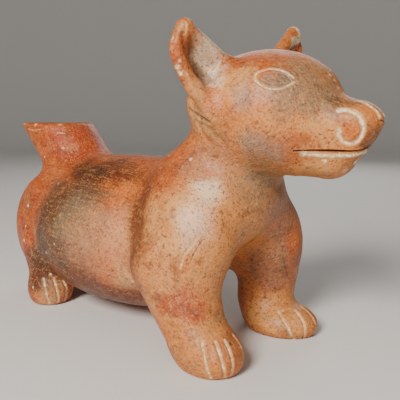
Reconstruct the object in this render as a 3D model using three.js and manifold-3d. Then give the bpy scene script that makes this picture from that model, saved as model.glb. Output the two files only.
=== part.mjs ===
// A hollow, burnished clay dog whose tail is an open spout, standing on four short legs.
// Millimetres, +X towards the nose, +Y to the dog's left, +Z up, soles on z = 0.
import * as THREE from "three";
import { mergeVertices } from "three/addons/utils/BufferGeometryUtils.js";
import Module from "manifold-3d";

// Driving sizes
const length = 400; // nose to rump; the pose and the masses are shares of it
const wall = 7; // thickness of the fired clay
const rimRadius = 32.5; // outside of the spout's mouth
const rimHeight = 172; // level lip of the spout above the soles
const toeGroove = 3.4; // width of the grooves that part the toes
const toeTop = 42; // degrees above the paw's middle where they start
const toeFoot = -22; // and where they end
const faceGroove = 2.2; // width of the grooves that draw the eyes, nostrils and mouth

// Fineness of the mesh
const skinCell = 3.35; // sampling step of the outer skin
const hollowCell = 8.2; // sampling step of the chamber
const grooveStep = 5; // length of one piece of a groove
const skinTriangles = 5500;
const hollowTriangles = 1300;

const share = length / 100;
const DEGREE = Math.PI / 180;

// A point given in hundredths of the dog's length
function at(x, y, z) {
  return new THREE.Vector3(x, y, z).multiplyScalar(share);
}

// Masses: each is a function of x, y, z that gives the distance outside its surface

function ellipsoid(centre, radii) {
  const { x: cx, y: cy, z: cz } = centre;
  const { x: rx, y: ry, z: rz } = radii;
  return (x, y, z) => {
    const u = (x - cx) / rx;
    const v = (y - cy) / ry;
    const w = (z - cz) / rz;
    const near = Math.hypot(u, v, w);
    const slope = Math.hypot(u / rx, v / ry, w / rz);
    return slope < 1e-9 ? -Math.min(rx, ry, rz) : (near * (near - 1)) / slope;
  };
}

// A tapering limb from one round end to the other
function limb(from, to, fromRadius, toRadius) {
  const axis = to.clone().sub(from);
  const reach = axis.lengthSq();
  return (x, y, z) => {
    const px = x - from.x;
    const py = y - from.y;
    const pz = z - from.z;
    const along = (px * axis.x + py * axis.y + pz * axis.z) / reach;
    const t = Math.min(1, Math.max(0, along));
    const off = Math.hypot(px - axis.x * t, py - axis.y * t, pz - axis.z * t);
    return off - (fromRadius + (toRadius - fromRadius) * t);
  };
}

function blend(softness, ...masses) {
  return (x, y, z) => {
    let joined = masses[0](x, y, z);
    for (let i = 1; i < masses.length; i++) {
      const next = masses[i](x, y, z);
      const near = Math.max(softness - Math.abs(joined - next), 0) / softness;
      joined = Math.min(joined, next) - (near * near * softness) / 4;
    }
    return joined;
  };
}

// A round cord through the points
function cord(points, radius) {
  const lengths = points.slice(1).map((end, i) => limb(points[i], end, radius, radius));
  return (x, y, z) => Math.min(...lengths.map((piece) => piece(x, y, z)));
}

// A sheet with rounded edges, folded out from its heart to the points along its edge
function leaf(heart, edge, thickness) {
  const folds = edge.slice(1).map((end, i) => new THREE.Triangle(heart, edge[i], end));
  const probe = new THREE.Vector3();
  const near = new THREE.Vector3();
  return (x, y, z) => {
    probe.set(x, y, z);
    let least = Infinity;
    for (const fold of folds) {
      least = Math.min(least, fold.closestPointToPoint(probe, near).distanceTo(probe));
    }
    return least - thickness / 2;
  };
}

// The same mass on both sides of the dog
function bothSides(mass) {
  return (x, y, z) => mass(x, -Math.abs(y), z);
}

// A mass that is modelled upright at the origin, then turned and set in place
function placed(mass, position, rotation) {
  const back = new THREE.Matrix4()
    .makeRotationFromEuler(rotation)
    .setPosition(position)
    .invert().elements;
  return (x, y, z) =>
    mass(
      back[0] * x + back[4] * y + back[8] * z + back[12],
      back[1] * x + back[5] * y + back[9] * z + back[13],
      back[2] * x + back[6] * y + back[10] * z + back[14],
    );
}

function turn(leanX, leanY, leanZ) {
  return new THREE.Euler(leanX * DEGREE, leanY * DEGREE, leanZ * DEGREE, "ZYX");
}

// Torso
const belly = placed(
  ellipsoid(at(0, 0, 0), at(23.6, 18.9, 17)), at(-38, 0, 18.8), turn(0, -2.5, 0),
);
const rump = ellipsoid(at(-55, 0, 18.2), at(16.7, 14.6, 15.2));
const ribs = ellipsoid(at(-25, 0, 19.2), at(14.4, 16.2, 14.8));
const chest = ellipsoid(at(-9.4, 0, 28.4), at(13.7, 13, 8.8));
const rightShoulder = ellipsoid(at(-6.8, -10.6, 22), at(9.2, 6.8, 11.2));
const leftShoulder = ellipsoid(at(-5.6, 10.7, 19.6), at(9.4, 6.9, 9.4));
const haunch = bothSides(
  placed(ellipsoid(at(0, 0, 0), at(8, 5, 12)), at(-56.6, -8.4, 16.5), turn(0, 6, 0)),
);
const neck = limb(at(-9.6, 0, 30.5), at(-0.8, 0, 43), 9.7 * share, 8.2 * share);

// Spout: a leaning tube that is cut level at the rim
const mouth = new THREE.Vector3(-64.35 * share, 0, rimHeight);
const spoutFoot = at(-52, 0, 30);
const spoutTop = mouth.clone().lerp(spoutFoot, -0.6);
const spout = limb(spoutFoot, spoutTop, rimRadius, rimRadius);

// Legs
const rightForeleg = limb(at(-9.6, -11.8, 17.4), at(-2.6, -12.9, 6), 8 * share, 5.7 * share);
const leftForeleg = limb(at(-5.2, 13.6, 16), at(-5.2, 12.1, 6), 6.8 * share, 6 * share);
const rightPaw = ellipsoid(at(0, 0, 0), at(6.6, 5.7, 4.9));
const leftPaw = ellipsoid(at(0, 0, 0), at(7.9, 5.9, 4.1));
const rightPawCentre = at(0.5, -12.7, 2.8);
const leftPawCentre = at(-0.2, 10.8, 2.1);
const hindPawCentre = at(-52.7, -11.4, 2.7);
const rightForepaw = placed(rightPaw, rightPawCentre, turn(0, 0, -3));
const leftForepaw = placed(leftPaw, leftPawCentre, turn(0, 0, 12));
const hindleg = bothSides(limb(at(-53.8, -10.5, 14), at(-53.2, -11.2, 6), 6 * share, 4.6 * share));
const hindpaw = bothSides(
  placed(ellipsoid(at(0, 0, 0), at(5.5, 5.2, 4.6)), hindPawCentre, turn(0, 0, -6)),
);

// Head, modelled level and then turned a little on the neck
const skull = ellipsoid(at(3.6, 0, 46.8), at(14.1, 12.3, 10));
const crown = ellipsoid(at(-1, 0, 47.6), at(10.8, 10.4, 6));
const cheeks = ellipsoid(at(5.8, 0, 42.8), at(12, 10.5, 6.8));
const muzzle = limb(at(10, 0, 43), at(20.1, 0, 43), 7.5 * share, 4 * share);
const jaw = limb(at(9, 0, 41.1), at(15.8, 0, 38.8), 5.7 * share, 4.6 * share);
const bridge = ellipsoid(at(19, 0, 44.4), at(5.3, 3.6, 2.3));

// The right ear: a dished leaf with a rolled outer rim. The left one is its mirror image
const earTip = at(-1.4, -16, 60);
const earRoot = at(0.2, -10.9, 46.8);
const crownRoot = at(0.2, -7.8, 54.4);
const outerRim = new THREE.CatmullRomCurve3([
  earRoot, at(-1.2, -14, 49.8), at(-1.9, -16.6, 54), at(-2, -17.3, 57.2), earTip,
]);
const rimPoints = outerRim.getPoints(10);
const earRim = cord(rimPoints, 1.1 * share);
const upperEdge = limb(crownRoot, earTip, 0.8 * share, 1.1 * share);
const dish = leaf(at(-4, -11.4, 52), [crownRoot, earTip, ...rimPoints.slice().reverse()], 1.7 * share);
const earFoot = leaf(at(-4, -11.4, 52), [crownRoot, at(2, -5, 50), earRoot], 1.7 * share);
const rightEar = blend(1.2 * share, dish, earFoot, earRim, upperEdge);
const earPivot = at(-1, 14, 50); // upright through the left ear, which is turned a little to the front
const mirrorEar = (x, y, z) => rightEar(x + earPivot.x, -y - earPivot.y, z + earPivot.z);
const leftEar = placed(mirrorEar, earPivot, turn(0, 0, -12));
const ears = (x, y, z) => Math.min(rightEar(x, y, z), leftEar(x, y, z));
const face = blend(3 * share, skull, crown, cheeks, muzzle, jaw, bridge);
const headCentre = at(2, 0, 42);
const headTurn = turn(4, 0, 1.5);

function onHead(mass) {
  const centred = (x, y, z) => mass(x + headCentre.x, y + headCentre.y, z + headCentre.z);
  return placed(centred, headCentre, headTurn);
}

const shoulders = (x, y, z) => Math.min(rightShoulder(x, y, z), leftShoulder(x, y, z));
const hindquarters = blend(6 * share, rump, haunch);
const forequarters = blend(7 * share, ribs, chest, shoulders, neck);
const torso = blend(3.2 * share, blend(7 * share, belly, forequarters), hindquarters);
const withSpout = blend(3.6 * share, torso, spout);
const forelegs = (x, y, z) => Math.min(rightForeleg(x, y, z), leftForeleg(x, y, z));
const forepaws = (x, y, z) => Math.min(rightForepaw(x, y, z), leftForepaw(x, y, z));
const withLegs = blend(2.4 * share, withSpout, forelegs, hindleg);
const withPaws = blend(2.5 * share, withLegs, forepaws, hindpaw);
const skin = blend(2 * share, blend(4 * share, withPaws, onHead(face)), onHead(ears));

// The chamber keeps one wall inside torso, spout and head; legs, paws and ears are solid clay
const vessel = blend(4 * share, withSpout, onHead(face));
const chamber = (x, y, z) => vessel(x, y, z) + wall;

// Meshing

function gradient(form, p) {
  const e = 0.05;
  return new THREE.Vector3(
    form(p.x + e, p.y, p.z) - form(p.x - e, p.y, p.z),
    form(p.x, p.y + e, p.z) - form(p.x, p.y - e, p.z),
    form(p.x, p.y, p.z + e) - form(p.x, p.y, p.z - e),
  ).divideScalar(2 * e);
}

// Moves a point straight onto the form's surface
function settle(form, point, steps = 4) {
  for (let i = 0; i < steps; i++) {
    const slope = gradient(form, point);
    const away = form(point.x, point.y, point.z) / Math.max(slope.lengthSq(), 1e-6);
    point.addScaledVector(slope, -away);
  }
  return point;
}

// The box that holds a form, found on a coarse lattice of the given step
function boxAround(form, step) {
  const box = new THREE.Box3();
  const point = new THREE.Vector3();
  for (let x = -length; x <= length; x += step)
    for (let y = -length / 2; y <= length / 2; y += step)
      for (let z = -length / 4; z <= length; z += step)
        if (form(x, y, z) < step) box.expandByPoint(point.set(x, y, z));
  return box.expandByScalar(step);
}

// Surface nets: one vertex in each cell that the surface crosses
function meshOf(form, cell) {
  const { min: low, max: high } = boxAround(form, 4 * cell);
  const counts = [0, 1, 2].map((axis) =>
    Math.ceil((high.getComponent(axis) - low.getComponent(axis)) / cell),
  );
  const [nx, ny, nz] = counts.map((count) => count + 1);
  const values = new Float64Array(nx * ny * nz);
  const slot = (i, j, k) => i + nx * (j + ny * k);
  for (let k = 0; k < nz; k++)
    for (let j = 0; j < ny; j++)
      for (let i = 0; i < nx; i++)
        values[slot(i, j, k)] = form(low.x + i * cell, low.y + j * cell, low.z + k * cell);

  const vertexIn = new Map();
  const points = [];
  const corners = [0, 1].flatMap((k) => [0, 1].flatMap((j) => [0, 1].map((i) => [i, j, k])));
  const edges = corners.flatMap((a, i) =>
    corners.slice(i + 1).flatMap((b) => {
      const steps = Math.abs(a[0] - b[0]) + Math.abs(a[1] - b[1]) + Math.abs(a[2] - b[2]);
      return steps === 1 ? [[a, b]] : [];
    }),
  );
  for (let k = 0; k < nz - 1; k++)
    for (let j = 0; j < ny - 1; j++)
      for (let i = 0; i < nx - 1; i++) {
        const mean = new THREE.Vector3();
        let crossings = 0;
        for (const [a, b] of edges) {
          const va = values[slot(i + a[0], j + a[1], k + a[2])];
          const vb = values[slot(i + b[0], j + b[1], k + b[2])];
          if (va < 0 === vb < 0) continue;
          const t = va / (va - vb);
          mean.x += a[0] + (b[0] - a[0]) * t;
          mean.y += a[1] + (b[1] - a[1]) * t;
          mean.z += a[2] + (b[2] - a[2]) * t;
          crossings++;
        }
        if (!crossings) continue;
        mean.divideScalar(crossings).add(new THREE.Vector3(i, j, k));
        vertexIn.set(slot(i, j, k), points.length);
        points.push(settle(form, mean.multiplyScalar(cell).add(low), 2));
      }

  const triangles = [];
  const across = [
    [slot(1, 0, 0), slot(0, 1, 0), slot(0, 0, 1)],
    [slot(0, 1, 0), slot(0, 0, 1), slot(1, 0, 0)],
    [slot(0, 0, 1), slot(1, 0, 0), slot(0, 1, 0)],
  ];
  for (let k = 1; k < nz - 1; k++)
    for (let j = 1; j < ny - 1; j++)
      for (let i = 1; i < nx - 1; i++)
        for (const [ahead, left, up] of across) {
          const here = slot(i, j, k);
          const inside = values[here] < 0;
          if (inside === values[here + ahead] < 0) continue;
          const ring = [here - left - up, here - up, here, here - left].map((c) => vertexIn.get(c));
          if (!inside) ring.reverse();
          const [a, b, c, d] = ring;
          const short = points[a].distanceTo(points[c]) < points[b].distanceTo(points[d]);
          if (short) triangles.push([a, b, c], [a, c, d]);
          else triangles.push([a, b, d], [b, c, d]);
        }
  return { points, triangles };
}

// Collapses the edges that change the shape least, until the budget is met
function simplified({ points, triangles }, budget) {
  const faces = triangles.map((face) => face.slice());
  const around = points.map(() => new Set());
  const error = points.map(() => new Float64Array(10));
  const stamp = new Int32Array(points.length);
  const normalOf = (p, q, r) => q.clone().sub(p).cross(r.clone().sub(p));
  faces.forEach((face, f) => {
    const [p, q, r] = face.map((v) => points[v]);
    const normal = normalOf(p, q, r);
    const area = normal.length();
    normal.normalize();
    const plane = [normal.x, normal.y, normal.z, -normal.dot(p)];
    face.forEach((v) => {
      around[v].add(f);
      let slot = 0;
      for (let i = 0; i < 4; i++)
        for (let j = i; j < 4; j++) error[v][slot++] += plane[i] * plane[j] * area;
    });
  });

  const costAt = (e, p) =>
    e[0] * p.x * p.x + 2 * e[1] * p.x * p.y + 2 * e[2] * p.x * p.z + 2 * e[3] * p.x +
    e[4] * p.y * p.y + 2 * e[5] * p.y * p.z + 2 * e[6] * p.y +
    e[7] * p.z * p.z + 2 * e[8] * p.z + e[9];

  const heap = [];
  const swap = (i, j) => ([heap[i], heap[j]] = [heap[j], heap[i]]);
  const push = (entry) => {
    heap.push(entry);
    for (let i = heap.length - 1; i > 0; ) {
      const parent = (i - 1) >> 1;
      if (heap[parent].cost <= heap[i].cost) break;
      swap(i, parent);
      i = parent;
    }
  };
  const pop = () => {
    const first = heap[0];
    const last = heap.pop();
    if (heap.length) {
      heap[0] = last;
      for (let i = 0; ; ) {
        let least = i;
        for (const child of [2 * i + 1, 2 * i + 2])
          if (child < heap.length && heap[child].cost < heap[least].cost) least = child;
        if (least === i) break;
        swap(i, least);
        i = least;
      }
    }
    return first;
  };

  const offer = (a, b) => {
    const sum = error[a].map((value, i) => value + error[b][i]);
    const middle = points[a].clone().lerp(points[b], 0.5);
    const solver = new THREE.Matrix3().set(
      sum[0], sum[1], sum[2], sum[1], sum[4], sum[5], sum[2], sum[5], sum[7],
    );
    const places = [middle, points[a].clone(), points[b].clone()];
    if (Math.abs(solver.determinant()) > 1e-6) {
      const best = new THREE.Vector3(-sum[3], -sum[6], -sum[8]).applyMatrix3(solver.invert());
      if (best.distanceTo(middle) < points[a].distanceTo(points[b])) places.push(best);
    }
    const stretch = 1e-3 * points[a].distanceToSquared(points[b]);
    const ranked = places.map((place) => ({ place, cost: Math.max(0, costAt(sum, place)) + stretch }));
    ranked.sort((p, q) => p.cost - q.cost);
    push({ a, b, ...ranked[0], stampA: stamp[a], stampB: stamp[b] });
  };
  const neighbours = (v) => {
    const found = new Set();
    for (const f of around[v]) for (const other of faces[f]) if (other !== v) found.add(other);
    return found;
  };
  const flips = (v, other, place) => {
    for (const f of around[v]) {
      const face = faces[f];
      if (face.includes(other)) continue;
      const before = normalOf(...face.map((w) => points[w]));
      const after = normalOf(...face.map((w) => (w === v ? place : points[w])));
      if (before.dot(after) < 0.3 * before.length() * after.length()) return true;
    }
    return false;
  };

  for (const face of faces)
    for (let i = 0; i < 3; i++) {
      const a = face[i];
      const b = face[(i + 1) % 3];
      if (a < b) offer(a, b);
    }
  let left = faces.length;
  while (left > budget && heap.length) {
    const { a, b, place, stampA, stampB } = pop();
    if (stamp[a] !== stampA || stamp[b] !== stampB) continue;
    const near = neighbours(a);
    const shared = [...neighbours(b)].filter((v) => near.has(v));
    if (shared.length !== 2 || flips(a, b, place) || flips(b, a, place)) continue;
    for (const f of [...around[b]]) {
      if (faces[f].includes(a)) {
        faces[f].forEach((v) => around[v].delete(f));
        faces[f] = null;
        left--;
      } else {
        faces[f] = faces[f].map((v) => (v === b ? a : v));
        around[a].add(f);
      }
    }
    around[b].clear();
    stamp[b] = -1;
    stamp[a]++;
    points[a].copy(place);
    error[a] = error[a].map((value, i) => value + error[b][i]);
    for (const v of neighbours(a)) {
      stamp[v]++;
    }
    const rim = neighbours(a);
    for (const v of rim) offer(a, v);
    for (const v of rim)
      for (const w of neighbours(v)) if (w !== a && (!rim.has(w) || v < w)) offer(v, w);
  }
  const kept = faces.filter(Boolean);
  const index = new Map();
  const used = [];
  const renumber = (v) => {
    if (!index.has(v)) {
      index.set(v, used.length);
      used.push(points[v]);
    }
    return index.get(v);
  };
  return { triangles: kept.map((face) => face.map(renumber)), points: used };
}

// Carving

// Turns a point of the level head the way the head is turned
function fromHead(point) {
  return point.clone().sub(headCentre).applyEuler(headTurn).add(headCentre);
}

function mirrored(point) {
  return point.clone().multiply(new THREE.Vector3(1, -1, 1));
}

// Lines that part the toes: each runs from above the paw down its front, between two bearings
function toeLines(centre, sweeps) {
  return sweeps.map(([above, below]) =>
    [0, 0.5, 1].map((t) => {
      const bearing = THREE.MathUtils.lerp(above, below, t) * DEGREE;
      const rise = THREE.MathUtils.lerp(toeTop, toeFoot, t) * DEGREE;
      const ahead = new THREE.Vector3(
        Math.cos(bearing) * Math.cos(rise),
        Math.sin(bearing) * Math.cos(rise),
        Math.sin(rise),
      );
      return centre.clone().addScaledVector(ahead, 6 * share);
    }),
  );
}

const hindSweeps = [[-52, -38], [-22, -14], [8, 8], [36, 32]];
const toes = [
  ...toeLines(rightPawCentre, [[-66, -46], [-36, -22], [-12, -12], [30, 4]]),
  ...toeLines(leftPawCentre, [[-63, -25], [-13, -10], [23, 2], [44, 22]]),
  ...toeLines(hindPawCentre, hindSweeps),
  ...toeLines(mirrored(hindPawCentre), hindSweeps.map((sweep) => sweep.map((angle) => -angle))),
];

const eyeBack = at(8.2, -9.4, 51.3);
const eyeFront = at(13.1, -7.1, 50.9);
const eyeLines = [
  [eyeBack, at(10.3, -7.7, 52.2), eyeFront],
  [eyeBack, at(10.8, -8.9, 50.4), eyeFront],
  [at(7.4, -9.7, 51.3), at(7.9, -8.3, 52.4), at(9.3, -7.4, 53.1), at(11.6, -6.8, 52.5)],
  [at(7.6, -9.9, 50.8), at(9.3, -9.8, 49.9), at(11.1, -9.2, 49.5), at(13.1, -7.7, 50.2)],
];
const nostril = [
  at(19.7, -4.4, 45.2), at(21.3, -3.6, 45.7), at(23.2, -3.3, 43.6), at(21.4, -3.7, 41.4),
  at(19.7, -4.3, 41.7),
];
const lip = [at(11.9, -8.4, 39.2), at(14.1, -7, 39.3), at(16.7, -5.2, 39), at(19.3, -3.5, 39.1)];
const mouthFront = at(22.9, 0, 39.8);
const mouthLine = [...lip, mouthFront, ...lip.map(mirrored).reverse()];
const sides = [...eyeLines, nostril];
const faceLines = [...sides, ...sides.map((line) => line.map(mirrored)), mouthLine];
const grooves = [
  ...toes.map((points) => ({ points, width: toeGroove })),
  ...faceLines.map((line) => ({ points: line.map(fromHead), width: faceGroove })),
];

// A closed tool that cuts a groove as wide as it is given along a line laid on the skin
function grooveTool(points, width) {
  const laid = points.map((point) => settle(skin, point.clone()));
  const line = new THREE.CatmullRomCurve3(laid);
  const steps = Math.ceil(line.getLength() / grooveStep);
  const rings = [];
  for (let i = 0; i <= steps; i++) {
    const middle = settle(skin, line.getPointAt(i / steps));
    const out = gradient(skin, middle).normalize();
    const side = line.getTangentAt(i / steps).cross(out).normalize();
    const size = i === 0 || i === steps ? width / 6 : width / 2;
    const corner = (across, up) =>
      middle.clone().addScaledVector(side, across * size).addScaledVector(out, up * size);
    rings.push([corner(1, 0.6), corner(0, 2.4), corner(-1, 0.6), corner(0, -1.3)]);
  }
  const triangles = [[0, 1, 2], [0, 2, 3]];
  for (let i = 0; i < steps; i++)
    for (let j = 0; j < 4; j++) {
      const [a, b] = [4 * i + j, 4 * i + ((j + 1) % 4)];
      triangles.push([a, a + 4, b], [b, a + 4, b + 4]);
    }
  const last = 4 * steps;
  triangles.push([last, last + 2, last + 1], [last, last + 3, last + 2]);
  return solidOf({ points: rings.flat(), triangles });
}

// Solids

const wasm = await Module();
wasm.setup();

function solidOf({ points, triangles }) {
  return new wasm.Manifold(
    new wasm.Mesh({
      numProp: 3,
      vertProperties: new Float32Array(points.flatMap((p) => [p.x, p.y, p.z])),
      triVerts: new Uint32Array(triangles.flat()),
    }),
  );
}

function solidFrom(geometry) {
  const bare = geometry.clone();
  bare.deleteAttribute("normal");
  bare.deleteAttribute("uv");
  const merged = mergeVertices(bare, 1e-4);
  return new wasm.Manifold(
    new wasm.Mesh({
      numProp: 3,
      vertProperties: merged.attributes.position.array,
      triVerts: new Uint32Array(merged.index.array),
    }),
  );
}

// A level slab between two heights, wider than the dog
function slab(bottom, top) {
  const geometry = new THREE.BoxGeometry(2 * length, 2 * length, top - bottom);
  return solidFrom(geometry.translate(0, 0, (top + bottom) / 2));
}

const body = solidOf(simplified(meshOf(skin, skinCell), skinTriangles));
const room = solidOf(simplified(meshOf(chamber, hollowCell), hollowTriangles));

// Above the rim only the tail is cut away, behind the middle of the back
const midBack = -36 * share;
const aboveRim = solidFrom(
  new THREE.BoxGeometry(length, length, length).translate(
    midBack - length / 2,
    0,
    rimHeight + length / 2,
  ),
);
const tools = grooves.map(({ points, width }) => grooveTool(points, width));
const clay = body.subtract(slab(-length, 0)).subtract(aboveRim).subtract(room);
const carved = tools.reduce((solid, tool) => solid.subtract(tool), clay);

function geometryOf(solid) {
  const mesh = solid.getMesh();
  return new THREE.BufferGeometry()
    .setAttribute("position", new THREE.BufferAttribute(mesh.vertProperties, 3))
    .setIndex(new THREE.BufferAttribute(mesh.triVerts, 1));
}

const clayFinish = new THREE.MeshStandardMaterial({ color: 0xa8613a, roughness: 0.42, metalness: 0 });
const shape = geometryOf(carved);
shape.computeBoundingBox();
const { min: least, max: most } = shape.boundingBox;
shape.translate(-(least.x + most.x) / 2, -(least.y + most.y) / 2, -least.z);
const dog = new THREE.Mesh(shape, clayFinish);
dog.name = "dog";

const figure = new THREE.Group();
figure.add(dog);
export default figure;
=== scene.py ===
"""A burnished clay dog whose tail is an open spout: its worked surface, its finish and its studio."""

import math

import bmesh
import bpy
import numpy as np
from mathutils import Matrix, Vector, noise


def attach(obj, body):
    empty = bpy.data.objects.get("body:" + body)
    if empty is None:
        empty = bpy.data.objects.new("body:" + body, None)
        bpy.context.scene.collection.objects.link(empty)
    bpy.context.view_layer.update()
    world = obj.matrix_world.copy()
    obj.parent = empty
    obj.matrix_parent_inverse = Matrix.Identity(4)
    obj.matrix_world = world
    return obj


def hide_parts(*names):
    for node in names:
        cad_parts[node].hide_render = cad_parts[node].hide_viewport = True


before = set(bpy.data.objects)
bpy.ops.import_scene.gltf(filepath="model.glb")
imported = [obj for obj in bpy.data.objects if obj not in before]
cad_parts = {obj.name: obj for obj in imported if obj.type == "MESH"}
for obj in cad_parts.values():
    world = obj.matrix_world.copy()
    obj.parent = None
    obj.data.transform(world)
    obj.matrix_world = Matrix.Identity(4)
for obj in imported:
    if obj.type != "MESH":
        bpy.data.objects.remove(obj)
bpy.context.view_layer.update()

MM = 0.001

# Driving sizes of the dog, in millimetres, as in the solid
LENGTH = 400.0
WALL = 7.0
RIM_RADIUS = 32.5
RIM_HEIGHT = 172.0
SHARE = LENGTH / 100
PART_SHIFT = np.array((101.38, -1.36, 0.0))  # from the carving's origin to the part's

# Softness of the joins between the masses, in millimetres
HAUNCH_BLEND = 24.0
FORE_BLEND = 28.0
WAIST_BLEND = 12.8
SPOUT_BLEND = 14.4
HEAD_BLEND = 16.0
FACE_BLEND = 12.0
CAP_BLEND = 2.0
LEG_BLEND = 9.6
PAW_BLEND = 10.0
EAR_BLEND = 8.0
EAR_SEAM = 4.8
WALL_BLEND = 1.0
LIP_ROUND = 4.0
SOLE_ROUND = 3.0

# Sizes of the worked clay, in millimetres
EAR_THICKNESS = 6.8
EAR_RIM_RADIUS = 4.4
EAR_RIM_STEP = 5.6
LEFT_EAR_TURN = -12.0  # degrees
CAP_RADIUS = 5.8  # half width of the raised cap along the top of the nose
TOE_GROOVE = 3.0  # width of the cuts between the toes
TOE_DEPTH = 1.5
TOE_REACH = 24.0  # from a paw's middle to its cuts, before they are laid on the skin
TOE_RISES = (42.0, -22.0)  # where the cuts begin and end, in degrees above the paw's middle
EYE_LINE = 1.9
EYE_DEPTH = 0.7
NOSTRIL_LINE = 3.8
NOSTRIL_DEPTH = 1.3
MOUTH_LINE = 1.6
MOUTH_DEPTH = 2.2
HAND_WAVE = (0.32, 21.0)  # height and spacing of the dents left by hand
TOOL_WAVE = (0.10, 6.0)
HOLLOW_FULL = 0.6  # how far below its surroundings a hollow gets its darkest painted shade and dirt
WORN_FROM = 0.35  # how far above its surroundings wear begins
WORN_RISE = 1.2

# Strengths and shares of the marks and dents
BURR = 0.16  # how high the clay stands up beside a cut, as a share of its depth
BURR_PLACE = 1.5  # the burr's middle and spread, in half widths of the cut
BURR_SPREAD = 0.6
MARK_REACH = 1.5  # how far a mark moves the clay, in widths of the mark
MARK_FADE = 1.35  # where a mark's colour ends, in half widths of the mark
LINE_END = 0.35  # depth at a line's two ends, as a share of its depth
LINE_RISE = 8.0  # how steeply it deepens from there along the line
CHIP_WAVE = (0.6, 1.5)  # raggedness of a chip's edge, and its spacing in millimetres
CUT_DEPOSIT = 0.8  # how much pale deposit the cuts of eyes and toes hold
CHAMBER_RELIEF = 0.5  # share of the dents that the chamber keeps

# Sizes of the mesh, in millimetres
SKIN_GRID = 1.5
FINE_BAND = 5.0  # half width of the finer mesh beside a cut
FINEST_BAND = 2.2
LINE_STEP = 1.2
SLOPE_STEP = 0.05
SKIN_DEPTH = 3.0  # what lies deeper than this belongs to the chamber
BARE_DEPTH = 2.5  # where the chamber's bare clay begins
FAR = 100.0  # a distance beyond the reach of every blend

# How the mesh is worked
LEAST_SLOPE = 0.05  # keeps points from leaping where the masses' distance hardly changes
SMOOTHING = 0.5  # share of the way to the mean of the neighbours
WEAR_ROUNDS = 6  # how many neighbours away a point's surroundings reach
MOST_TRIANGLES = 190000


def at(x, y, z):
    """A point given in hundredths of the dog's length."""
    return np.array((x, y, z)) * SHARE


def turned(x, y, z):
    """A turn about the three axes, in degrees."""
    about_z, about_y, about_x = [
        Matrix.Rotation(math.radians(angle), 3, axis) for angle, axis in ((z, "Z"), (y, "Y"), (x, "X"))
    ]
    return np.array(about_z @ about_y @ about_x)


# Masses: each is a function of many points that gives their distances outside its surface


def ellipsoid(centre, radii):
    def distance(points):
        scaled = (points - centre) / radii
        near = np.linalg.norm(scaled, axis=1)
        slope = np.linalg.norm(scaled / radii, axis=1)
        return near * (near - 1) / np.maximum(slope, 1e-9)
    return distance


def limb(start, end, start_radius, end_radius):
    """A tapering limb from one round end to the other."""
    axis = end - start

    def distance(points):
        along = np.clip((points - start) @ axis / (axis @ axis), 0, 1)
        off = np.linalg.norm(points - start - along[:, None] * axis, axis=1)
        return off - (start_radius + (end_radius - start_radius) * along)
    return distance


def soft_least(first, second, softness):
    near = np.maximum(softness - np.abs(first - second), 0) / softness
    return np.minimum(first, second) - near * near * softness / 4


def blend(softness, *masses):
    def distance(points):
        joined = masses[0](points)
        for mass in masses[1:]:
            joined = soft_least(joined, mass(points), softness)
        return joined
    return distance


def either(*masses):
    return lambda points: np.min([mass(points) for mass in masses], axis=0)


def cord(path, radius):
    """A round cord through the points."""
    return either(*[limb(a, b, radius, radius) for a, b in zip(path, path[1:])])


def triangle(a, b, c):
    """The distance from one flat triangle."""
    normal = np.cross(b - a, c - a)
    normal = normal / np.linalg.norm(normal)
    sides = [(a, b), (b, c), (c, a)]
    rims = either(*[limb(start, end, 0.0, 0.0) for start, end in sides])
    inwards = [(start, np.cross(normal, end - start)) for start, end in sides]

    def distance(points):
        over = np.all([(points - start) @ inward >= 0 for start, inward in inwards], axis=0)
        return np.where(over, np.abs((points - a) @ normal), rims(points))
    return distance


def leaf(heart, edge, thickness):
    """A sheet with rounded edges, folded out from its heart to the points along its edge."""
    folds = either(*[triangle(heart, a, b) for a, b in zip(edge, edge[1:])])
    return lambda points: folds(points) - thickness / 2


def mirrored(points):
    return points * np.array((1, -1, 1))


def both_sides(mass):
    """The same mass on both sides of the dog."""
    return lambda points: mass(np.column_stack((points[:, 0], -np.abs(points[:, 1]), points[:, 2])))


def placed(mass, position, turn):
    """A mass that is modelled upright at the origin, then turned and set in place."""
    return lambda points: mass((points - position) @ turn)


def only_near(low, high, mass):
    """A mass that is worked out only inside a box that holds it with room to spare."""
    def distance(points):
        inside = np.all((points > low) & (points < high), axis=1)
        result = np.full(len(points), FAR)
        result[inside] = mass(points[inside])
        return result
    return distance


def smooth_path(points, spacing):
    """Points along a smooth curve through the given ones, the given spacing apart."""
    ends = [points[0] * 2 - points[1], *points, points[-1] * 2 - points[-2]]
    path = []
    for a, b, c, d in zip(ends, ends[1:], ends[2:], ends[3:]):
        steps = max(2, round(float(np.linalg.norm(c - b)) / spacing))
        for t in np.arange(steps) / steps:
            bend = 2 * a - 5 * b + 4 * c - d
            twist = -a + 3 * b - 3 * c + d
            path.append((2 * b + (c - a) * t + bend * t * t + twist * t ** 3) / 2)
    return np.array([*path, points[-1]])


# The head's turn on the neck

HEAD_CENTRE = at(2, 0, 42)
HEAD_TURN = turned(4, 0, 1.5)


def on_head(mass):
    return placed(lambda points: mass(points + HEAD_CENTRE), HEAD_CENTRE, HEAD_TURN)


def from_head(points):
    """Points of the level head, turned the way the head is turned."""
    return (points - HEAD_CENTRE) @ HEAD_TURN.T + HEAD_CENTRE


RIGHT_PAW = at(0.5, -12.7, 2.8)
LEFT_PAW = at(-0.2, 10.8, 2.1)
HIND_PAW = at(-52.7, -11.4, 2.7)


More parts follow.
